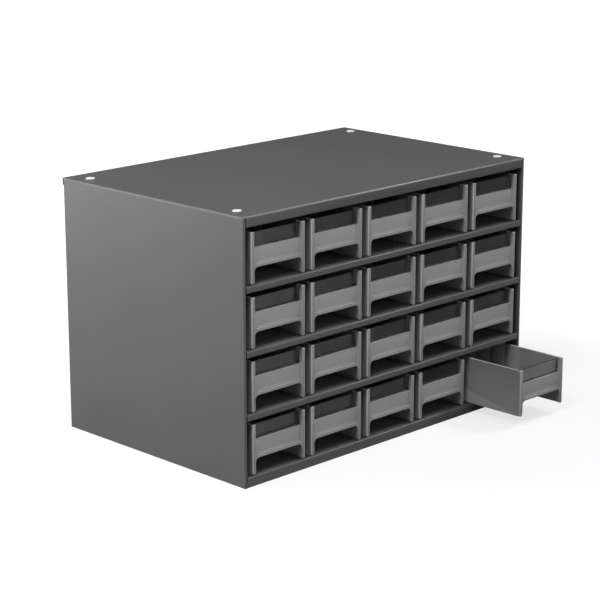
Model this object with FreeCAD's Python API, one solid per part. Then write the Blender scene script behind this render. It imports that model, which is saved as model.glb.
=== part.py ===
import FreeCAD, Part
import math
import os

# Drill bit drawer case: a welded sheet steel cabinet with small moulded drawers in columns and rows.
# Units are millimetres. X runs across the width and +Y points to the back, so the drawers open
# towards -Y. +Z is up. The origin is the centre of the case's footprint, on the surface it stands on.

# ---------------------------------------------------------------- driving dimensions

# Drawers
COLUMNS = 5
ROWS = 4
DRAWER_WIDTH = 74.6
DRAWER_HEIGHT = 52.4
DRAWER_LENGTH = 268.3
WALL = 2.2                  # thickness of the moulded walls and floor
SIDE_STEP = 0.3             # how far the side walls stand back from the posts' outer faces
REAR_CHAMFER = 3.0          # cut across the two rear corners

# Drawer front: two posts joined by a band that is both label holder and pull
POST_WIDTH = 4.3
POST_DEPTH = 4.5
POST_TOE = 1.3              # cut across both sides of a post's bottom end
BAND_BOTTOM = 16.7
BAND_TOP = 36.3
ARCH_RADIUS = 5.0           # where the underside of the band runs into the posts
PULL_BAR = 3.3              # height of the bar along the band's lower edge
LABEL_LEDGE = 1.7           # height of the ledge on the bar that a label card stands on
LABEL_RECESS = 2.0          # how far the label face lies behind the posts
LEDGE_RECESS = 1.0          # how far the ledge lies behind the posts
LABEL_SIDE_LIP = 2.8        # width of the frame left beside the label face
WINDOW_SLOT = 3.2           # gap between the front frame and the bin, in which the window stands
SLOT_SKIN = 1.0             # side wall left outside the window slot, above the pull bar
WINDOW_THICKNESS = 1.5
WINDOW_PLAY = 0.2           # between the window and its slot, at both sides and behind
WINDOW_DROP = 1.4           # from the drawer's rim down to the window's top edge

# Drawer bin
FLOOR_LIFT = 1.0            # underside of the floor above the side walls' bottom edges
RAMP_HEAD = 19.0            # height at which the bin's front wall turns into a ramp
RAMP_FOOT = 44.0            # where the ramp meets the floor, from the drawer's front
DIVIDER_FIRST = 60.0        # first pair of divider slots, from the drawer's front
DIVIDER_PITCH = 21.5
DIVIDER_REAR = 66.0         # the last part of the drawer, left without slots
DIVIDER_SLOT = 1.8          # width of a divider slot along the drawer
DIVIDER_DEPTH = 1.1         # depth of a divider slot in the side wall
STOP_WIDTH = 50.0           # width of the tab on the rear wall that stops the drawer
STOP_RISE = 9.0             # height of the tab above the drawer's rim

# Sheet steel case
SHEET = 1.0
FOLD = 1.5                  # outer radius of the folds that show
SIDE_MARGIN = 11.3          # from the case's outer face to the first drawer
DRAWER_GAP = 9.05           # between two drawers in a row
DRAWER_HEADROOM = 6.1       # above a drawer, up to the flange over it
RUN_CLEARANCE = 0.2         # between a drawer's bottom edges and the guide feet they slide on
FRONT_RECESS = 1.0          # from the case's front plane back to the drawers' posts
REAR_ROOM = 8.1             # behind a closed drawer
BASE_RISE = 10.7            # deck of the bottom row above the ground
SHELF_FRONT = 6.3           # height of a shelf's front flange
TOP_FRONT = 11.0            # height of the top's front flange
TOP_REAR = 8.0              # height of the top's rear flange
FRONT_RETURN = 5.0          # depth of the lip folded back under a front flange
PAN_FLANGE = 8.0            # height of the flanges that fix a deck or shelf to the sides and back
HEM_WIDTH = 3.2             # width of the folded front edge of a side panel
HEM_LEG = 7.0               # how far that fold runs back inside
HEM_GAP = 0.6               # seam between a side panel's hem and the flanges beside it
SIDE_FLANGE = 10.0          # flanges folded in along a side panel's rear and top edges
BASE_FLANGE = 30.0          # flange folded in along a side panel's bottom edge

# Drawer guides: hat sections between the drawers and zed sections beside the outer ones
GUIDE_HEIGHT = 9.0
GUIDE_CLEARANCE = 0.8       # between a guide and the drawer beside it
GUIDE_FOOT = 5.0            # how far a guide's foot reaches under a drawer
GUIDE_SETBACK = 30.0        # from the case's front plane back to the guides' front ends
GUIDE_REAR_GAP = 12.0       # from the guides' rear ends to the back panel

# Stacking buttons on the top and the matching holes in the base
BUTTON_RADIUS = 4.8
BUTTON_RISE = 1.0
BUTTON_FROM_SIDE = 16.0
BUTTON_FROM_FRONT = 26.0    # the rear pair is as far from the back
STACKING_HOLE_RADIUS = 5.6

# The pose in which the case is stored: one drawer of the bottom row stands partly open
OPEN_ROW = ROWS
OPEN_COLUMN = COLUMNS
OPEN_PULL = 73.0

# ---------------------------------------------------------------- sizes that follow from them

BAY_HEIGHT = SHEET + RUN_CLEARANCE + DRAWER_HEIGHT + DRAWER_HEADROOM
ROW_PITCH = BAY_HEIGHT + SHELF_FRONT
COLUMN_PITCH = DRAWER_WIDTH + DRAWER_GAP
CASE_WIDTH = COLUMNS * DRAWER_WIDTH + (COLUMNS - 1) * DRAWER_GAP + 2 * SIDE_MARGIN
CASE_DEPTH = FRONT_RECESS + DRAWER_LENGTH + REAR_ROOM + 2 * SHEET
CASE_HEIGHT = BASE_RISE + ROWS * BAY_HEIGHT + (ROWS - 1) * SHELF_FRONT + TOP_FRONT
DRAWER_TRAVEL = FRONT_RECESS + DRAWER_LENGTH - WALL - FRONT_RETURN
LEFT = -CASE_WIDTH / 2
RIGHT = CASE_WIDTH / 2
FRONT = -CASE_DEPTH / 2
BACK = CASE_DEPTH / 2
PANEL_FACE = BACK - 2 * SHEET       # front face of the back panel, inside the side panels' flanges
HEM_INNER = HEM_WIDTH + HEM_GAP     # where the flanges between the two hems begin
HEM_END = HEM_LEG + HEM_GAP         # where the decks widen out behind the two hems
OVERLAP = 0.5                       # how far the pieces of one moulding or pressing run together


# ---------------------------------------------------------------- outlines and solids


def level_plane(z):
    """Places an outline's (x, y) points in the level plane at height z."""
    return lambda a, b: FreeCAD.Vector(a, b, z)


def cross_plane(y):
    """Places an outline's (x, z) points in the upright plane across the case at y."""
    return lambda a, b: FreeCAD.Vector(a, y, b)


def side_plane(x):
    """Places an outline's (y, z) points in the upright plane from front to back at x."""
    return lambda a, b: FreeCAD.Vector(x, a, b)


def rounded_corner(before, corner, after):
    """The start, middle and end of the arc that rounds a corner (a, b, radius)."""
    a, b, radius = corner
    if radius <= 0:
        return (a, b), (a, b), (a, b)
    in_length = math.hypot(before[0] - a, before[1] - b)
    out_length = math.hypot(after[0] - a, after[1] - b)
    in_a, in_b = (before[0] - a) / in_length, (before[1] - b) / in_length
    out_a, out_b = (after[0] - a) / out_length, (after[1] - b) / out_length
    half_angle = math.acos(in_a * out_a + in_b * out_b) / 2
    reach = radius / math.tan(half_angle)
    mid_a, mid_b = in_a + out_a, in_b + out_b
    depth = (radius / math.sin(half_angle) - radius) / math.hypot(mid_a, mid_b)
    start = (a + in_a * reach, b + in_b * reach)
    middle = (a + mid_a * depth, b + mid_b * depth)
    end = (a + out_a * reach, b + out_b * reach)
    return start, middle, end


def outline_face(corners, place):
    """A flat face with straight sides between corners (a, b, radius), each rounded by its radius."""
    count = len(corners)
    rounds = [rounded_corner(corners[i - 1], corners[i], corners[(i + 1) % count]) for i in range(count)]
    edges = []
    for i, (start, middle, end) in enumerate(rounds):
        if corners[i][2] > 0:
            edges.append(Part.Arc(place(*start), place(*middle), place(*end)).toShape())
        following = rounds[(i + 1) % count][0]
        if math.hypot(following[0] - end[0], following[1] - end[1]) > 1e-6:
            edges.append(Part.LineSegment(place(*end), place(*following)).toShape())
    return Part.Face(Part.Wire(edges))


def even_wall(path, thickness, place):
    """The section of a wall of even thickness. The path follows one face, with the wall on its right.

    Each path point is (a, b, radius), and its radius rounds that face alone. Where the path turns,
    the wall's other face turns where its two offset lines cross.
    """
    offsets = []
    for start, end in zip(path, path[1:]):
        length = math.hypot(end[0] - start[0], end[1] - start[1])
        along = ((end[0] - start[0]) / length, (end[1] - start[1]) / length)
        across = (along[1] * thickness, -along[0] * thickness)
        offsets.append(((start[0] + across[0], start[1] + across[1]), along, across))
    far_face = [(*offsets[0][0], 0)]
    for (point, along, _), (following, turned, _) in zip(offsets, offsets[1:]):
        turn = along[0] * turned[1] - along[1] * turned[0]
        gap = (following[0] - point[0], following[1] - point[1])
        reach = (gap[0] * turned[1] - gap[1] * turned[0]) / turn
        far_face.append((point[0] + along[0] * reach, point[1] + along[1] * reach, 0))
    last = offsets[-1][2]
    far_face.append((path[-1][0] + last[0], path[-1][1] + last[1], 0))
    return outline_face(path + far_face[::-1], place)


def box(low, high):
    """A box between two opposite corners."""
    return Part.makeBox(high[0] - low[0], high[1] - low[1], high[2] - low[2], FreeCAD.Vector(*low))


def joined(pieces):
    """Fuses the overlapping pieces of one moulding or pressing into one clean solid."""
    return pieces[0].fuse(pieces[1:]).removeSplitter()


def mirrored(shape):
    """The same piece on the other side of the case."""
    return shape.mirror(FreeCAD.Vector(0, 0, 0), FreeCAD.Vector(1, 0, 0))


# ---------------------------------------------------------------- where rows and columns lie


def deck_level(row):
    """Upper surface of the deck that a row of drawers stands over; row 1 is the top row."""
    return BASE_RISE + (ROWS - row) * ROW_PITCH


def drawer_left(column):
    """Outer left face of a column of drawers; column 1 is the left one."""
    return LEFT + SIDE_MARGIN + (column - 1) * COLUMN_PITCH


def drawer_pull(row, column):
    """How far a drawer stands open in the stored pose."""
    return OPEN_PULL if (row, column) == (OPEN_ROW, OPEN_COLUMN) else 0


def button_places():
    """The four corners of the stacking pattern, the front left one first."""
    across = RIGHT - BUTTON_FROM_SIDE
    along = BACK - BUTTON_FROM_FRONT
    return [(-across, -along), (across, -along), (-across, along), (across, along)]


# ---------------------------------------------------------------- drawer, with its front left bottom
# ---------------------------------------------------------------- corner at the origin


def front_frame():
    """The two posts and the band between them, with the label's pocket cut into the band."""
    far_post = DRAWER_WIDTH - POST_WIDTH
    elevation = outline_face([
        (0, DRAWER_HEIGHT, 0),
        (0, POST_TOE, 0),
        (POST_TOE, 0, 0),
        (POST_WIDTH - POST_TOE, 0, 0),
        (POST_WIDTH, POST_TOE, 0),
        (POST_WIDTH, BAND_BOTTOM, ARCH_RADIUS),
        (far_post, BAND_BOTTOM, ARCH_RADIUS),
        (far_post, POST_TOE, 0),
        (far_post + POST_TOE, 0, 0),
        (DRAWER_WIDTH - POST_TOE, 0, 0),
        (DRAWER_WIDTH, POST_TOE, 0),
        (DRAWER_WIDTH, DRAWER_HEIGHT, 0),
        (far_post, DRAWER_HEIGHT, 0),
        (far_post, BAND_TOP, 0),
        (POST_WIDTH, BAND_TOP, 0),
        (POST_WIDTH, DRAWER_HEIGHT, 0),
    ], cross_plane(0))
    frame = elevation.extrude(FreeCAD.Vector(0, POST_DEPTH, 0))
    return frame.cut(label_pocket())


def label_pocket():
    """What the label's pocket takes from the band: a deep face with a shallower ledge below it."""
    left = POST_WIDTH + LABEL_SIDE_LIP
    bar_top = BAND_BOTTOM + PULL_BAR
    ledge_top = bar_top + LABEL_LEDGE
    section = outline_face([
        (-OVERLAP, bar_top, 0),
        (LEDGE_RECESS, bar_top, 0),
        (LEDGE_RECESS, ledge_top, 0),
        (LABEL_RECESS, ledge_top, 0),
        (LABEL_RECESS, BAND_TOP + OVERLAP, 0),
        (-OVERLAP, BAND_TOP + OVERLAP, 0),
    ], side_plane(left))
    return section.extrude(FreeCAD.Vector(DRAWER_WIDTH - 2 * left, 0, 0))


def bin_walls():
    """The side and rear walls, with divider slots down their inner faces."""
    start = POST_DEPTH - OVERLAP
    left = SIDE_STEP
    right = DRAWER_WIDTH - SIDE_STEP
    plan = even_wall([
        (left, start, 0),
        (left, DRAWER_LENGTH - REAR_CHAMFER, 0),
        (left + REAR_CHAMFER, DRAWER_LENGTH, 0),
        (right - REAR_CHAMFER, DRAWER_LENGTH, 0),
        (right, DRAWER_LENGTH - REAR_CHAMFER, 0),
        (right, start, 0),
    ], WALL, level_plane(0))
    return plan.extrude(FreeCAD.Vector(0, 0, DRAWER_HEIGHT)).cut(divider_slots() + [window_slot()])


def window_slot():
    """What the window slot takes from the two side walls, from the pull bar up through the rim."""
    left = SIDE_STEP + SLOT_SKIN
    low = (left, POST_DEPTH, BAND_BOTTOM + PULL_BAR)
    return box(low, (DRAWER_WIDTH - left, POST_DEPTH + WINDOW_SLOT, DRAWER_HEIGHT + OVERLAP))


def divider_slots():
    """What the pairs of divider slots take from the walls, from the floor up through the rim."""
    left = SIDE_STEP + WALL - DIVIDER_DEPTH
    right = DRAWER_WIDTH - left
    slots = []
    place = DIVIDER_FIRST
    while place < DRAWER_LENGTH - DIVIDER_REAR:
        low = (left, place, FLOOR_LIFT + WALL)
        high = (right, place + DIVIDER_SLOT, DRAWER_HEIGHT + OVERLAP)
        slots.append(box(low, high))
        place += DIVIDER_PITCH
    return slots


def bin_floor():
    """The bin's front wall, ramp and floor, one wall carried through between the side walls."""
    front = POST_DEPTH + WINDOW_SLOT
    rear = DRAWER_LENGTH - WALL + OVERLAP
    side = SIDE_STEP + OVERLAP
    section = even_wall([
        (rear, FLOOR_LIFT, 0),
        (RAMP_FOOT, FLOOR_LIFT, 0),
        (front, RAMP_HEAD, 0),
        (front, BAND_TOP, 0),
    ], WALL, side_plane(side))
    return section.extrude(FreeCAD.Vector(DRAWER_WIDTH - 2 * side, 0, 0))


def window_slot_ribs():
    """The two ribs behind the posts that carry the window slot on up to the rim."""
    front = POST_DEPTH + WINDOW_SLOT
    left = box((SIDE_STEP + OVERLAP, front, BAND_TOP - OVERLAP), (POST_WIDTH, front + WALL, DRAWER_HEIGHT))
    right = left.translated(FreeCAD.Vector(DRAWER_WIDTH - POST_WIDTH - SIDE_STEP - OVERLAP, 0, 0))
    return [left, right]


def stop_tab():
    """The tab on the rear wall that catches behind the flange over the bay."""
    left = (DRAWER_WIDTH - STOP_WIDTH) / 2
    low = (left, DRAWER_LENGTH - WALL, DRAWER_HEIGHT - OVERLAP)
    high = (left + STOP_WIDTH, DRAWER_LENGTH, DRAWER_HEIGHT + STOP_RISE)
    return box(low, high)


def drawer():
    """The moulding of one drawer."""
    return joined([bin_walls(), front_frame(), bin_floor(), stop_tab()] + window_slot_ribs())


def window():
    """The clear window over the band, which stands on the lower ends of its slot."""
    left = SIDE_STEP + SLOT_SKIN + WINDOW_PLAY
    rear = POST_DEPTH + WINDOW_SLOT - WINDOW_PLAY
    low = (left, rear - WINDOW_THICKNESS, BAND_BOTTOM + PULL_BAR)
    return box(low, (DRAWER_WIDTH - left, rear, DRAWER_HEIGHT - WINDOW_DROP))


# ---------------------------------------------------------------- sheet steel case


def side_panel():
    """The left side, hemmed along the front, with flanges folded in along its other three edges."""
    height = CASE_HEIGHT - SHEET
    plan = even_wall([
        (LEFT + HEM_WIDTH, FRONT + HEM_LEG, 0),
        (LEFT + HEM_WIDTH, FRONT, FOLD),
        (LEFT, FRONT, FOLD),
        (LEFT, BACK, 0),
        (LEFT + SIDE_FLANGE, BACK, 0),
    ], SHEET, level_plane(0))
    wall = plan.extrude(FreeCAD.Vector(0, 0, height))
    start = FRONT + HEM_END
    base = box((LEFT + OVERLAP, start, 0), (LEFT + BASE_FLANGE, PANEL_FACE, SHEET))
    head = box((LEFT + OVERLAP, start, height - SHEET), (LEFT + SIDE_FLANGE, PANEL_FACE, height))
    holes = [Part.makeCylinder(STACKING_HOLE_RADIUS, 3 * SHEET, FreeCAD.Vector(x, y, -SHEET))
             for x, y in button_places()]
    return joined([wall, base, head]).cut(holes)


def pan(level, front_height):
    """A deck with its front edge folded down and back under, and fixing flanges on the other three."""
    side = even_wall([
        (FRONT + FRONT_RETURN, level - front_height, 0),
        (FRONT, level - front_height, 0),
        (FRONT, level, FOLD),
        (FRONT + HEM_END + OVERLAP, level, 0),
    ], SHEET, side_plane(LEFT + HEM_INNER))
    nose = side.extrude(FreeCAD.Vector(CASE_WIDTH - 2 * HEM_INNER, 0, 0))
    near = FRONT + HEM_END
    low = level - PAN_FLANGE
    deck = box((LEFT + SHEET, near, level - SHEET), (RIGHT - SHEET, PANEL_FACE, level))
    left = box((LEFT + SHEET, near, low), (LEFT + 2 * SHEET, PANEL_FACE, level - OVERLAP))
    right = box((RIGHT - 2 * SHEET, near, low), (RIGHT - SHEET, PANEL_FACE, level - OVERLAP))
    rear = box((LEFT + SHEET, PANEL_FACE - SHEET, low), (RIGHT - SHEET, PANEL_FACE, level - OVERLAP))
    return joined([deck, nose, left, right, rear])


def top_panel():
    """The top: a sheet over both sides, its front folded down and under, its rear lapped down."""
    rear = BACK + SHEET
    under = CASE_HEIGHT - SHEET
    edge = outline_face([
        (FRONT, under - FOLD, 0),
        (rear, under - FOLD, 0),
        (rear, CASE_HEIGHT, FOLD),
        (FRONT, CASE_HEIGHT, FOLD),
    ], side_plane(LEFT))
    sheet = edge.extrude(FreeCAD.Vector(CASE_WIDTH, 0, 0))
    sheet = sheet.common(box((LEFT, FRONT, under), (RIGHT, rear, CASE_HEIGHT)))
    side = even_wall([
        (FRONT + FRONT_RETURN, CASE_HEIGHT - TOP_FRONT, 0),
        (FRONT, CASE_HEIGHT - TOP_FRONT, 0),
        (FRONT, CASE_HEIGHT, FOLD),
        (FRONT + HEM_END, CASE_HEIGHT, 0),
    ], SHEET, side_plane(LEFT + HEM_INNER))
    nose = side.extrude(FreeCAD.Vector(CASE_WIDTH - 2 * HEM_INNER, 0, 0))
    lap = even_wall([
        (BACK - FOLD, CASE_HEIGHT, 0),
        (rear, CASE_HEIGHT, FOLD),
        (rear, CASE_HEIGHT - TOP_REAR, 0),
    ], SHEET, side_plane(LEFT))
    tail = lap.extrude(FreeCAD.Vector(CASE_WIDTH, 0, 0))
    return joined([sheet, nose, tail])


def back_panel():
    """The flat back, set inside the side panels' rear flanges."""
    return box((LEFT + SHEET, PANEL_FACE, 0), (RIGHT - SHEET, PANEL_FACE + SHEET, CASE_HEIGHT - SHEET))


def guide_length():
    """How far a guide runs from front to back."""
    return PANEL_FACE - GUIDE_REAR_GAP - (FRONT + GUIDE_SETBACK)


def middle_guide(level, centre):
    """A hat section between two drawers, whose feet reach under both of them."""
    crown = DRAWER_GAP / 2 - GUIDE_CLEARANCE
    foot = DRAWER_GAP / 2 + GUIDE_FOOT
    section = even_wall([
        (centre - foot, level + SHEET, 0),
        (centre - crown, level + SHEET, 0),
        (centre - crown, level + GUIDE_HEIGHT, 0),
        (centre + crown, level + GUIDE_HEIGHT, 0),
        (centre + crown, level + SHEET, 0),
        (centre + foot, level + SHEET, 0),
    ], SHEET, cross_plane(FRONT + GUIDE_SETBACK))
    return section.extrude(FreeCAD.Vector(0, guide_length(), 0))


def left_guide(level):
    """A zed section from the left side panel to the first drawer, with one foot under it."""
    face = LEFT + SIDE_MARGIN - GUIDE_CLEARANCE
    section = even_wall([
        (LEFT + SHEET, level + GUIDE_HEIGHT, 0),
        (face, level + GUIDE_HEIGHT, 0),
        (face, level + SHEET, 0),
        (LEFT + SIDE_MARGIN + GUIDE_FOOT, level + SHEET, 0),
    ], SHEET, cross_plane(FRONT + GUIDE_SETBACK))
    return section.extrude(FreeCAD.Vector(0, guide_length(), 0))


def row_guides(level):
    """All guides of one row, from left to right."""
    first = left_guide(level)
    gap = LEFT + SIDE_MARGIN + DRAWER_WIDTH + DRAWER_GAP / 2
    middle = [middle_guide(level, gap + i * COLUMN_PITCH) for i in range(COLUMNS - 1)]
    return [first] + middle + [mirrored(first)]


def stacking_button(x, y):
    """A low round button on the top, which seats in the base hole of the case above it."""
    return Part.makeCylinder(BUTTON_RADIUS, BUTTON_RISE, FreeCAD.Vector(x, y, CASE_HEIGHT))


# ---------------------------------------------------------------- every piece, under its own name


def case_pieces():
    """The pieces of the case, by name. The alike guides of a row share one name, as separate solids."""
    pieces = {
        "top_panel": top_panel(),
        "left_side_panel": side_panel(),
        "right_side_panel": mirrored(side_panel()),
        "back_panel": back_panel(),
        "bottom_deck": pan(BASE_RISE, BASE_RISE),
    }
    for row in range(1, ROWS):
        pieces[f"shelf_{row}"] = pan(deck_level(row), SHELF_FRONT)
    for row in range(1, ROWS + 1):
        pieces[f"guides_r{row}"] = Part.makeCompound(row_guides(deck_level(row)))
    for i, (x, y) in enumerate(button_places(), 1):
        pieces[f"stacking_button_{i}"] = stacking_button(x, y)
    return pieces


def drawer_pieces():
    """The drawers and their windows, by name, each in its place in the stored pose."""
    models = {"drawer": drawer(), "window": window()}
    pieces = {}
    for row in range(1, ROWS + 1):
        for column in range(1, COLUMNS + 1):
            front = FRONT + FRONT_RECESS - drawer_pull(row, column)
            bottom = deck_level(row) + SHEET + RUN_CLEARANCE
            place = FreeCAD.Vector(drawer_left(column), front, bottom)
            for kind, model in models.items():
                pieces[f"{kind}_r{row}_c{column}"] = model.translated(place)
    return pieces


def main():
    """Writes one file for each piece and prints the sizes that the joints and mounts need."""
    os.makedirs("parts", exist_ok=True)
    pieces = {**case_pieces(), **drawer_pieces()}
    for name, shape in pieces.items():
        count = COLUMNS + 1 if name.startswith("guides_") else 1
        if len(shape.Solids) != count or not all(s.isValid() and s.Volume > 0 for s in shape.Solids):
            raise ValueError(f"{name} is not {count} sound solids")
        whole = shape.Solids[0] if count == 1 else shape
        whole.exportStep(f"parts/{name}.step")
    print(f"{len(pieces)} nodes")
    print(f"case {CASE_WIDTH:.2f} x {CASE_DEPTH:.2f} x {CASE_HEIGHT:.2f} mm")
    print(f"drawer travel from closed {DRAWER_TRAVEL:.2f} mm")


main()
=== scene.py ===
# %% [markdown]
# # A steel case with twenty small drawers
# A parts cabinet is a folded sheet steel box with rows of small moulded drawers. The sheets and the
# drawers arrive here as a measured frame: their sizes and places are fixed. What Blender adds is what
# the eye looks for: edges that are never quite sharp, paint and plastic that aren't quite even, and a
# light that shows both. This first cell loads the frame and sorts its nodes by what they are.

# %% Load the frame
import math

import bmesh
import bpy
import numpy as np
from mathutils import Matrix, Vector


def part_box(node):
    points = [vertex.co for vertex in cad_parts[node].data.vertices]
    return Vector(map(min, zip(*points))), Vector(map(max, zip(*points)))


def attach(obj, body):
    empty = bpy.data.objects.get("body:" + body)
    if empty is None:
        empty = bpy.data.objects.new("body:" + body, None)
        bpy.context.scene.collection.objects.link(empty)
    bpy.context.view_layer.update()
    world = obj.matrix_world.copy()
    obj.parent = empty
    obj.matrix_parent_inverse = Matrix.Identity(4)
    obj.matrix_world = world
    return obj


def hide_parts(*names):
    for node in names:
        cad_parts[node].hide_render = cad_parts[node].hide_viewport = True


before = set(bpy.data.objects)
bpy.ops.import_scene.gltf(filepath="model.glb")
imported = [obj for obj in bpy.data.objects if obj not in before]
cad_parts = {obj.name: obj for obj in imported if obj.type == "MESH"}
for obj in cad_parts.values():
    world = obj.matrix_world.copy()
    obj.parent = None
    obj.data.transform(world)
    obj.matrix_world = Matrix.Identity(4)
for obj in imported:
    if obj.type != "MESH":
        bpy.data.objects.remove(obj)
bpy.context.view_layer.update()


def nodes_named(start):
    """The nodes whose names begin with start, in order."""
    return sorted(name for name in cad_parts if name.startswith(start))


DRAWERS = nodes_named("drawer_")
WINDOWS = nodes_named("window_")
GUIDES = nodes_named("guides_")
BUTTONS = nodes_named("stacking_button_")
SHEETS = sorted(set(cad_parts) - set(DRAWERS) - set(WINDOWS) - set(GUIDES) - set(BUTTONS))
print(len(DRAWERS), "drawers,", len(WINDOWS), "windows,", len(GUIDES), "rows of guides,",
      len(BUTTONS), "buttons")
print("sheets:", SHEETS)

# %% [markdown]
# ## Camera
# Seen from close by, a box spreads towards the eye and its verticals lean. A long lens from further off
# keeps them nearly upright. The camera stands 2.2 m away at a corner of the case and has a 119 mm lens on
# a 36 mm sensor. It could be aimed by a Track To constraint, but a direction given by an azimuth and an
# elevation needs no target object.

# %% Camera
CAMERA_PLACE = (-1.5023, -1.5089, 0.6995)
CAMERA_AZIMUTH = math.radians(44.888)      # to the right of straight ahead
CAMERA_ELEVATION = math.radians(14.982)    # looking down
CAMERA_ROLL = math.radians(-0.08)
CAMERA_LENS = 119.13                       # in mm, as the sensor is
CAMERA_SENSOR = 36.0
CAMERA_NEAREST = 0.05                      # in metres; nothing closer is drawn

camera = bpy.data.objects.new("camera", bpy.data.cameras.new("camera"))
camera.data.lens = CAMERA_LENS
camera.data.sensor_width = CAMERA_SENSOR
camera.data.clip_start = CAMERA_NEAREST
camera.location = CAMERA_PLACE
look = Vector((math.cos(CAMERA_ELEVATION) * math.sin(CAMERA_AZIMUTH),
               math.cos(CAMERA_ELEVATION) * math.cos(CAMERA_AZIMUTH),
               -math.sin(CAMERA_ELEVATION)))
aim = look.to_track_quat("-Z", "Y")
camera.rotation_mode = "QUATERNION"
camera.rotation_quaternion = aim @ Matrix.Rotation(CAMERA_ROLL, 3, "Z").to_quaternion()
bpy.context.scene.collection.objects.link(camera)
bpy.context.scene.camera = camera
bpy.context.scene.view_settings.view_transform = "Standard"
print("camera stands", round(Vector(CAMERA_PLACE).length, 2), "m away, looks along",
      tuple(round(v, 4) for v in look))

# %% [markdown]
# ## Floor and backdrop
# The studio is plain: a pale floor and a white world behind it. White behind the case is only a colour
# that the camera sees. Light Path tells camera rays from the others, so the world can be white to look
# at and still give little light, which keeps the gaps between the drawers as deep as they are in life.
#
# The floor works in the same way. Its matt part sends little light back up, and a white of its own
# makes it pale to the camera. That white grows with the distance from the case, so the case still
# stands in its own soft shadow. Reflections get a softer white that fades from left to right: clear
# windows mirror the floor, and an even white would wash them out.

# %% Floor and world
FLOOR_SIZE = 14.0
FLOOR_BOUNCE = 0.3          # how much of the lamps' light the floor sends back up to the case
FLOOR_GLOW = 0.72           # the floor's own white close to the case, for the camera alone
SHADOW_REACH = (0.3, 0.9)   # between these distances, in metres, that white grows to 1
REFLECTED_GLOW = 0.6        # the floor's own white in reflections, left of the case
FADE_DIRECTION = (0.72, 0.69, 0.0)
FADE_REACH = (-0.45, 0.0)   # between these places along that direction, in metres, it fades away
WORLD_LIGHT = 0.05          # what the world gives to surfaces, against 1 for what the camera sees


def add_node(tree, kind, inputs=None, **settings):
    """Adds one shader node, with settings as attributes and inputs as a dict of socket values."""
    made = tree.nodes.new(kind)
    for key, value in settings.items():
        setattr(made, key, value)
    for key, value in (inputs or {}).items():
        made.inputs[key].default_value = value
    return made


def empty_tree(owner):
    """The node tree of a material or world, without the nodes it starts with."""
    owner.use_nodes = True
    owner.node_tree.nodes.clear()
    return owner.node_tree


def grey(level):
    """A neutral colour from a level between 0 and 1, in the linear scale that shaders use."""
    return (level, level, level, 1.0)


def make_world():
    """A world that is white to look at, and that lights surfaces at a lower level."""
    world = bpy.data.worlds.new("studio")
    tree = empty_tree(world)
    path = add_node(tree, "ShaderNodeLightPath")
    seen = add_node(tree, "ShaderNodeBackground", {"Color": grey(1.0), "Strength": 1.0})
    given = add_node(tree, "ShaderNodeBackground", {"Color": grey(1.0), "Strength": WORLD_LIGHT})
    mix = add_node(tree, "ShaderNodeMixShader")
    out = add_node(tree, "ShaderNodeOutputWorld")
    tree.links.new(path.outputs["Is Camera Ray"], mix.inputs["Fac"])
    tree.links.new(given.outputs["Background"], mix.inputs[1])
    tree.links.new(seen.outputs["Background"], mix.inputs[2])
    tree.links.new(mix.outputs["Shader"], out.inputs["Surface"])
    return world


def ramp(tree, reach, start, end):
    """A value that goes smoothly from start to end while its input crosses a reach."""
    return add_node(tree, "ShaderNodeMapRange",
                    {"From Min": reach[0], "From Max": reach[1], "To Min": start, "To Max": end},
                    interpolation_type="SMOOTHSTEP")


def make_floor_material():
    """Pale floor: matt, plus white of its own.

    The white is glow(distance) for camera rays, and fade(place) for glossy and transmission rays."""
    material = bpy.data.materials.new("studio_floor")
    tree = empty_tree(material)
    link = tree.links.new
    path = add_node(tree, "ShaderNodeLightPath")
    place = add_node(tree, "ShaderNodeTexCoord")
    away = add_node(tree, "ShaderNodeVectorMath", operation="LENGTH")
    across = add_node(tree, "ShaderNodeVectorMath", operation="DOT_PRODUCT")
    across.inputs[1].default_value = FADE_DIRECTION
    glow = ramp(tree, SHADOW_REACH, FLOOR_GLOW, 1.0)
    fade = ramp(tree, FADE_REACH, REFLECTED_GLOW, 0.0)
    through = add_node(tree, "ShaderNodeMath", operation="MAXIMUM")
    shown = add_node(tree, "ShaderNodeMath", operation="MULTIPLY")
    reflected = add_node(tree, "ShaderNodeMath", operation="MULTIPLY")
    strength = add_node(tree, "ShaderNodeMath", operation="ADD")
    matt = add_node(tree, "ShaderNodeBsdfDiffuse", {"Color": grey(FLOOR_BOUNCE)})
    white = add_node(tree, "ShaderNodeEmission", {"Color": grey(1.0)})
    both = add_node(tree, "ShaderNodeAddShader")
    out = add_node(tree, "ShaderNodeOutputMaterial")
    link(place.outputs["Object"], away.inputs[0])
    link(away.outputs["Value"], glow.inputs["Value"])
    link(place.outputs["Object"], across.inputs[0])
    link(across.outputs["Value"], fade.inputs["Value"])
    link(glow.outputs["Result"], shown.inputs[0])
    link(path.outputs["Is Camera Ray"], shown.inputs[1])
    link(path.outputs["Is Glossy Ray"], through.inputs[0])
    link(path.outputs["Is Transmission Ray"], through.inputs[1])
    link(fade.outputs["Result"], reflected.inputs[0])
    link(through.outputs["Value"], reflected.inputs[1])
    link(shown.outputs["Value"], strength.inputs[0])
    link(reflected.outputs["Value"], strength.inputs[1])
    link(strength.outputs["Value"], white.inputs["Strength"])
    link(matt.outputs["BSDF"], both.inputs[0])
    link(white.outputs["Emission"], both.inputs[1])
    link(both.outputs["Shader"], out.inputs["Surface"])
    return material


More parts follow.
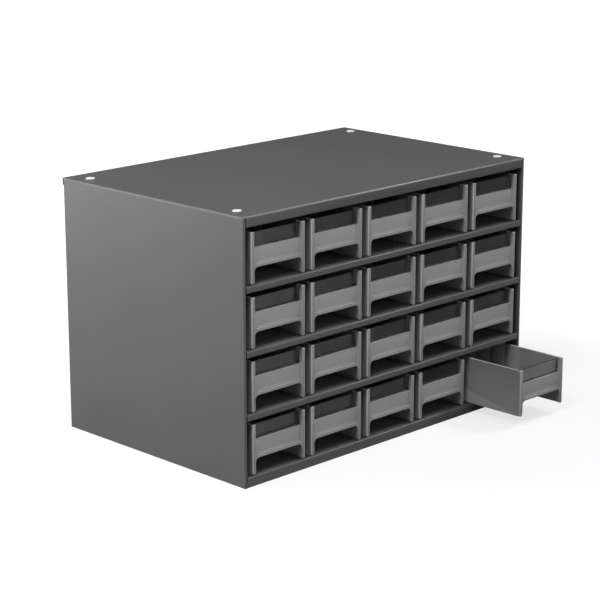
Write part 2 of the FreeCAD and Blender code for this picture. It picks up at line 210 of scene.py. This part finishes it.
bpy.context.scene.world = make_world()
corners = np.array([[-1, -1, 0], [1, -1, 0], [1, 1, 0], [-1, 1, 0]]) * FLOOR_SIZE / 2
floor_mesh = bpy.data.meshes.new("studio_floor")
floor_mesh.from_pydata(corners.tolist(), [], [[0, 1, 2, 3]])
floor_mesh.materials.append(make_floor_material())
floor = bpy.data.objects.new("studio_floor", floor_mesh)
bpy.context.scene.collection.objects.link(floor)
print("floor", FLOOR_SIZE, "m square at the height of the case's base")

# %% [markdown]
# ## Lamps
# Square area lamps stand around the case like softboxes. Each one has a task: those behind on the left
# make the left side brightest at its rear, the high one on the left lights the posts' sides and the
# walls of an open drawer, and those in front and on the right light the fronts from above, so that the
# recesses under the bands stay dark. A lamp's place could be three coordinates, but angles as seen from
# the case say at once which of its faces the lamp reaches.

# %% Lamps
MIDDLE = Vector((0.0, 0.0, 0.14))      # the middle of the case, which every lamp faces


def add_lamp(name, azimuth, elevation, distance, size, power):
    """A square area lamp that faces the case from a direction, in degrees as seen from the case.

    Azimuth 0 is straight in front of the drawers and 90 is to their left. Power is in watts."""
    lamp = bpy.data.objects.new(name, bpy.data.lights.new(name, "AREA"))
    lamp.data.shape = "SQUARE"
    lamp.data.size = size
    lamp.data.energy = power
    a, e = math.radians(azimuth), math.radians(elevation)
    direction = Vector((-math.sin(a) * math.cos(e), -math.cos(a) * math.cos(e), math.sin(e)))
    lamp.location = MIDDLE + direction * distance
    lamp.rotation_mode = "QUATERNION"
    lamp.rotation_quaternion = direction.to_track_quat("Z", "Y")
    bpy.context.scene.collection.objects.link(lamp)
    return lamp


add_lamp("rear_left_softbox", azimuth=135, elevation=30, distance=1.3, size=0.6, power=9.8)
add_lamp("rear_left_low_softbox", azimuth=135, elevation=10, distance=1.3, size=0.6, power=5.4)
add_lamp("left_softbox", azimuth=95, elevation=25, distance=1.3, size=0.6, power=1.7)
add_lamp("left_high_softbox", azimuth=60, elevation=50, distance=1.2, size=0.4, power=5.3)
add_lamp("front_left_softbox", azimuth=45, elevation=40, distance=2.2, size=1.2, power=3.6)
add_lamp("front_softbox", azimuth=0, elevation=15, distance=2.2, size=1.2, power=4.5)
add_lamp("front_right_high_softbox", azimuth=-30, elevation=60, distance=2.2, size=1.2, power=7.5)
add_lamp("right_softbox", azimuth=-69, elevation=43, distance=2.4, size=0.6, power=22)

# %% [markdown]
# ## Paint and moulded plastic
# Powder coat is sprayed on dry and melted, so it has a faint orange peel and a soft sheen. Moulded
# drawers are satin grey plastic with a fine grain from the steel mould. Both are near neutral greys
# that differ in depth. A painted texture could give the grain, but it needs unwrapped faces. Noise on
# Object coordinates needs none, has no seams and has a real size: one noise of a few centimetres for
# uneven colour, and a fine one for grain and bump. Both kinds have a second finish, smoother and much
# paler, for some edges: its pale colour is a painted highlight.

# %% Solid finishes
UNEVEN_POLISH = 0.05        # how far the roughness drifts to both sides


def finish_material(name, dark, light, roughness, grain, grain_height, patches):
    """A satin surface. Its colour drifts between two greys, and its roughness and bump have a grain.

    patches and grain are noise scales per metre, and grain_height is the bump's depth in metres."""
    material = bpy.data.materials.new(name)
    tree = empty_tree(material)
    link = tree.links.new
    place = add_node(tree, "ShaderNodeTexCoord")
    drift = add_node(tree, "ShaderNodeTexNoise", {"Scale": patches, "Detail": 3.0, "Roughness": 0.55})
    fine = add_node(tree, "ShaderNodeTexNoise", {"Scale": grain, "Detail": 2.0, "Roughness": 0.5})
    colour = add_node(tree, "ShaderNodeMix", data_type="RGBA")
    colour.inputs["A"].default_value = grey(dark)
    colour.inputs["B"].default_value = grey(light)
    rough = add_node(tree, "ShaderNodeMapRange", {"To Min": roughness - UNEVEN_POLISH,
                                                  "To Max": roughness + UNEVEN_POLISH})
    bump = add_node(tree, "ShaderNodeBump", {"Strength": 1.0, "Distance": grain_height})
    shader = add_node(tree, "ShaderNodeBsdfPrincipled")
    out = add_node(tree, "ShaderNodeOutputMaterial")
    link(place.outputs["Object"], drift.inputs["Vector"])
    link(place.outputs["Object"], fine.inputs["Vector"])
    link(drift.outputs["Fac"], colour.inputs["Factor"])
    link(colour.outputs["Result"], shader.inputs["Base Color"])
    link(fine.outputs["Fac"], rough.inputs["Value"])
    link(rough.outputs["Result"], shader.inputs["Roughness"])
    link(fine.outputs["Fac"], bump.inputs["Height"])
    link(bump.outputs["Normal"], shader.inputs["Normal"])
    link(shader.outputs["BSDF"], out.inputs["Surface"])
    return material


CASE_PAINT = finish_material("case_powder_coat", dark=0.10, light=0.118, roughness=0.42,
                             grain=700, grain_height=0.00001, patches=12)
# A paler, smoother paint for fold rounds: its pale colour paints a highlight there.
HIGHLIGHT_PAINT = finish_material("case_powder_coat_painted_highlight", dark=0.20, light=0.25, roughness=0.34,
                               grain=700, grain_height=0.000005, patches=30)
DRAWER_PLASTIC = finish_material("drawer_plastic", dark=0.315, light=0.345, roughness=0.48,
                                 grain=1500, grain_height=0.000006, patches=25)
# A paler, smoother plastic for the rounded drawer edges: its pale colour paints a highlight there.
HIGHLIGHT_PLASTIC = finish_material("drawer_plastic_painted_highlight", dark=0.53, light=0.57, roughness=0.36,
                                 grain=1500, grain_height=0.000004, patches=25)
BUTTON_NYLON = finish_material("button_nylon", dark=0.86, light=0.92, roughness=0.35,
                               grain=900, grain_height=0.000004, patches=60)
print("finishes:", [m.name for m in bpy.data.materials])

# %% [markdown]
# ## Clear plastic
# The windows are thin clear sheets, and what shows of them is mostly what they mirror. A Glass shader
# could make them. A Principled one with full transmission does the same, keeps every finish of the case
# in one kind of shader, and takes a faint tint and a polish that wear has made uneven.

# %% Clear finish
CLEAR_IOR = 1.49            # acrylic sheet
TINT_DRIFT = 0.02           # how far the tint drifts to both sides
WORN_POLISH = (0.6, 1.6)    # the roughness drifts between these parts of its given value


def clear_material(name, tint, roughness, patches):
    """Clear sheet plastic: light passes through with a faint tint, and wear varies the polish."""
    material = bpy.data.materials.new(name)
    tree = empty_tree(material)
    link = tree.links.new
    place = add_node(tree, "ShaderNodeTexCoord")
    wear = add_node(tree, "ShaderNodeTexNoise", {"Scale": patches, "Detail": 4.0, "Roughness": 0.6})
    rough = add_node(tree, "ShaderNodeMapRange", {"To Min": roughness * WORN_POLISH[0],
                                                  "To Max": roughness * WORN_POLISH[1]})
    colour = add_node(tree, "ShaderNodeMix", data_type="RGBA")
    colour.inputs["A"].default_value = grey(tint - TINT_DRIFT)
    colour.inputs["B"].default_value = grey(tint + TINT_DRIFT)
    shader = add_node(tree, "ShaderNodeBsdfPrincipled", {"Transmission Weight": 1.0, "IOR": CLEAR_IOR})
    out = add_node(tree, "ShaderNodeOutputMaterial")
    link(place.outputs["Object"], wear.inputs["Vector"])
    link(wear.outputs["Fac"], rough.inputs["Value"])
    link(wear.outputs["Fac"], colour.inputs["Factor"])
    link(colour.outputs["Result"], shader.inputs["Base Color"])
    link(rough.outputs["Result"], shader.inputs["Roughness"])
    link(shader.outputs["BSDF"], out.inputs["Surface"])
    return material


CLEAR_PLASTIC = clear_material("clear_plastic", tint=0.92, roughness=0.06, patches=40)
print("clear finish:", CLEAR_PLASTIC.name)

# %% [markdown]
# ## Whole copies
# The frame's meshes are loose triangles and may not be edited, so a piece that needs rounder edges gets
# a copy. It could be built anew from sizes, but a copy is sure to fit. Its triangles are merged, its flat
# faces are made whole again, and what the frame stored about the shading of its triangles is taken off.

# %% Whole copies
MM = 0.001                  # one millimetre in the scene's metres
MERGE_DISTANCE = 0.002      # in mm
FLAT_ANGLE = math.radians(1)
STORED_SHADING = {"custom_normal", "sharp_face", "sharp_edge"}


def whole_copy(node, name):
    """A new piece with a node's shape: its triangles merged, and its flat faces made whole."""
    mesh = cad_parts[node].data.copy()
    mesh.name = name
    work = bmesh.new()
    work.from_mesh(mesh)
    bmesh.ops.remove_doubles(work, verts=work.verts, dist=MERGE_DISTANCE * MM)
    bmesh.ops.dissolve_limit(work, angle_limit=FLAT_ANGLE, verts=work.verts, edges=work.edges)
    work.to_mesh(mesh)
    work.free()
    for attribute in sorted(STORED_SHADING & set(mesh.attributes.keys())):
        mesh.attributes.remove(mesh.attributes[attribute])
    mesh.shade_smooth()
    piece = bpy.data.objects.new(name, mesh)
    bpy.context.scene.collection.objects.link(piece)
    return piece


print("points closer than", MERGE_DISTANCE, "mm are merged")

# %% [markdown]
# ## Softened edges
# No edge on the real case is quite sharp, and thin rounded edges catch the light and draw the bright
# lines around it. Bevel modifiers round the copies. They could round by angle alone, but folds, cut
# edges and moulded corners differ in radius, so the larger radii are chosen by edge weights.

# %% Softened edges
SHARP_ANGLE = math.radians(30)


def edge_ends(mesh):
    """Both end points of every edge, as two arrays of places in mm."""
    points = np.empty(len(mesh.vertices) * 3)
    mesh.vertices.foreach_get("co", points)
    points = points.reshape(-1, 3) / MM
    ends = np.empty(len(mesh.edges) * 2, dtype=int)
    mesh.edges.foreach_get("vertices", ends)
    return points[ends[0::2]], points[ends[1::2]]


def weigh(mesh, weights):
    """Gives every edge its share of the radius of a Bevel that goes by weight."""
    mesh.attributes.new("bevel_weight_edge", "FLOAT", "EDGE").data.foreach_set("value", weights)


def soften(piece, radius, segments=2, limit="ANGLE", clamp=True):
    """Rounds a piece's edges by a Bevel modifier, to a radius in mm. Flat faces keep flat shading."""
    bevel = piece.modifiers.new("softened_edges", "BEVEL")
    bevel.width = radius * MM
    bevel.segments = segments
    bevel.limit_method = limit
    bevel.angle_limit = SHARP_ANGLE
    bevel.use_clamp_overlap = clamp
    bevel.harden_normals = True
    return bevel


print("edges count as sharp from", round(math.degrees(SHARP_ANGLE)), "degrees")

# %% [markdown]
# ## Dressing a piece
# Each finished copy takes the place of the frame's own piece: it gets a finish, it moves with the same
# body, and the frame's piece is hidden. One helper does all of that, so that no copy misses a step.

# %% Dressing
def dress(piece, material, body, slot, *nodes):
    """Gives a piece its finish and its body, and hides the nodes that it stands for."""
    piece.data.materials.clear()
    piece.data.materials.append(material)
    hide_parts(*nodes)
    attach(piece, body)
    return piece


def evaluated_faces(piece):
    """How many faces a piece has once its modifiers are applied."""
    return len(piece.evaluated_get(bpy.context.evaluated_depsgraph_get()).data.polygons)


# %% [markdown]
# ## Sheets
# A folded sheet has a fold radius of about its own thickness outside, and its cut edges are only broken
# before it is painted. The front folds come round from the frame. The others could be picked by hand,
# but a rule finds them on every sheet: they are the long edges where two outer faces meet, so they lie on
# two planes of the sheet's own box at once. The round of the fold over the drawers gets the paler second
# paint, a painted highlight along that edge.

# %% Sheets
FOLD_RADIUS = 1.2           # outside radius of a fold, in mm
CUT_EDGE = 0.3              # what deburring and paint leave on a cut edge
FOLD_LENGTH = 20.0          # no fold is shorter than this
NEAR = 0.02                 # points closer than this, in mm, count as being in one place
HIGHLIGHT_TURN = 0.05          # how far a face with the painted highlight looks forward and up, as parts of its normal


def weigh_folds(mesh):
    """Marks the folds: the long edges that lie on two of the six planes of the sheet's own box."""
    a, b = edge_ends(mesh)
    low, high = np.minimum(a, b).min(axis=0), np.maximum(a, b).max(axis=0)
    at_low = (abs(a - low) < NEAR) & (abs(b - low) < NEAR)
    at_high = (abs(a - high) < NEAR) & (abs(b - high) < NEAR)
    planes = at_low.sum(axis=1) + at_high.sum(axis=1)
    folds = (planes >= 2) & (np.linalg.norm(a - b, axis=1) > FOLD_LENGTH)
    weigh(mesh, folds.astype(float))
    return int(folds.sum())


def paint_front_fold_highlight(mesh):
    """Paints a highlight on the upper front fold with the second finish: faces that look forward and up.
    """
    normals = np.empty(len(mesh.polygons) * 3)
    mesh.polygons.foreach_get("normal", normals)
    normals = normals.reshape(-1, 3)
    highlighted = (normals[:, 1] < -HIGHLIGHT_TURN) & (normals[:, 2] > HIGHLIGHT_TURN)
    mesh.polygons.foreach_set("material_index", highlighted.astype(int))
    return int(highlighted.sum())


for name in SHEETS:
    sheet = whole_copy(name, name + "_painted")
    folds = weigh_folds(sheet.data)
    soften(sheet, FOLD_RADIUS, segments=4, limit="WEIGHT", clamp=False)
    soften(sheet, CUT_EDGE)
    dress(sheet, CASE_PAINT, "case", "case_paint", name)
    if name == "top_panel":
        # The top's front fold gets the pale second paint, a painted highlight along that edge.
        sheet.data.materials.append(HIGHLIGHT_PAINT)
        print("rubbed faces:", paint_front_fold_highlight(sheet.data))
    print(sheet.name, "has", folds, "folds and", evaluated_faces(sheet), "faces")

# %% [markdown]
# ## Guides and buttons
# The guides hide between the drawers. Copies of them could be softened too, but nobody would see it, so
# their own plain meshes stay and only get the paint. The four buttons on top are turned nylon pads with a
# softened rim.

# %% Guides and buttons
BUTTON_RIM = 0.35           # in mm

for name in GUIDES:
    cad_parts[name].data.materials.clear()
    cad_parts[name].data.materials.append(CASE_PAINT)

for name in BUTTONS:
    button = whole_copy(name, name + "_pad")
    soften(button, BUTTON_RIM, segments=3)
    dress(button, BUTTON_NYLON, "case", "button_nylon", name)
print("painted:", GUIDES, "button faces:", evaluated_faces(button))

# %% [markdown]
# ## Drawers
# All twenty drawers come from one mould, so one mesh is made and then shifted to each place. A mould
# gives every edge its own radius: large where a hand meets it, small where parts fit. A Bevel by angle
# would give them all the same. So the edges get weights by the place that they lie at, and a first Bevel
# rounds them by weight. Its new faces take the second finish, smoother and much paler: a painted
# highlight along the front corners, front edges and rim. A second Bevel breaks all edges still sharp.

# %% Drawers
DRAWER_RIM = 52.4           # height of the side walls, in mm; only the stop tab stands higher
HIGHLIGHT_FINISH = 1           # place of the pale plastic, a painted highlight, in a drawer's list of finishes
POST_CORNER = 1.3           # the two outer corners of the front
FRONT_EDGE = 0.5            # the other edges of the front plane
RIM_EDGE = 0.35             # the upper edges
LEFT_OVER_EDGE = 0.12       # all others
SHORT_EDGE = 4.0            # level front edges shorter than this are left to the others


def weigh_edges(mesh, low, high):
    """Gives the edges of the front plane and the rim their radii, as shares of the corner radius."""
    a, b = edge_ends(mesh)
    a, b = a - np.array(low) / MM, b - np.array(low) / MM
    width = (high[0] - low[0]) / MM
    level = abs(a[:, 2] - b[:, 2]) < NEAR
    upright = (abs(a[:, 0] - b[:, 0]) < NEAR) & (abs(a[:, 1] - b[:, 1]) < NEAR)
    outside = (a[:, 0] < NEAR) | (a[:, 0] > width - NEAR)
    on_front = (abs(a[:, 1]) < NEAR) & (abs(b[:, 1]) < NEAR)
    on_rim = (abs(a[:, 2] - DRAWER_RIM) < NEAR) & (abs(b[:, 2] - DRAWER_RIM) < NEAR)
    short = np.linalg.norm(a - b, axis=1) < SHORT_EDGE
    radii = np.zeros(len(a))
    radii[on_rim] = RIM_EDGE
    radii[on_front] = FRONT_EDGE
    radii[on_front & upright] = 0.0
    radii[on_front & level & short] = 0.0
    radii[on_front & upright & outside] = POST_CORNER
    weigh(mesh, radii / POST_CORNER)
    return int((radii > 0).sum())


def round_drawer(piece):
    """Rounds a drawer's weighted edges in its second finish, a painted highlight, then all edges left
    sharp.
    """
    handled = soften(piece, POST_CORNER, segments=4, limit="WEIGHT", clamp=False)
    # The faces of these rounds take the pale plastic, a painted highlight.
    handled.material = HIGHLIGHT_FINISH
    soften(piece, LEFT_OVER_EDGE, segments=1)


model = whole_copy(DRAWERS[0], "drawer_model")
model_low, model_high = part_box(DRAWERS[0])
print("weighted edges:", weigh_edges(model.data, model_low, model_high))
for name in DRAWERS:
    piece = bpy.data.objects.new(name + "_moulding", model.data.copy())
    bpy.context.scene.collection.objects.link(piece)
    piece.data.transform(Matrix.Translation(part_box(name)[0] - model_low))
    dress(piece, DRAWER_PLASTIC, name, "drawer_plastic", name)
    # The second finish is the pale plastic that paints highlights on the rounded edges.
    piece.data.materials.append(HIGHLIGHT_PLASTIC)
    round_drawer(piece)
bpy.data.objects.remove(model)
print("drawer faces:", evaluated_faces(piece))

# %% [markdown]
# ## Windows
# A clear sheet stands in a slot behind each drawer's front and keeps small parts from jumping out. It
# could be a plain flat face, but light bends where it enters and where it leaves, so the plate keeps its
# thickness. A cut plate needs no more than a broken edge and the clear finish. It rides on its drawer.

# %% Windows
WINDOW_EDGE = 0.2           # in mm

for name in WINDOWS:
    window = whole_copy(name, name + "_sheet")
    soften(window, WINDOW_EDGE)
    dress(window, CLEAR_PLASTIC, name.replace("window", "drawer"), "window_clear", name)
print("window faces:", evaluated_faces(window))
